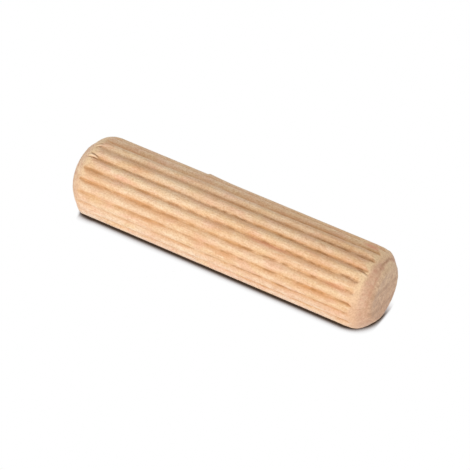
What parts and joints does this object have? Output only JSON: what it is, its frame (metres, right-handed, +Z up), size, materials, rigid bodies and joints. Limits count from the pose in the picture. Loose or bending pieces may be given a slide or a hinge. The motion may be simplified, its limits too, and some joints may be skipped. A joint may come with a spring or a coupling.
{
  "type": "fluted dowel pin",
  "caption": "Round hardwood dowel pin with straight flutes along its whole length and tapered ends, glued into matching drilled holes to join two boards.",
  "frame": {"origin": "middle of the pin's footprint on the surface that it lies on", "axes": "+X along the pin's axis from one end face to the other; +Z up; a flute points straight down, so the pin lies on two ridges"},
  "size_m": [0.04, 0.01, 0.0099],
  "materials": {
    "wood": "matte"
  },
  "bodies": {
    "root": {"dowel_pin": "wood"}
  },
  "joints": []
}
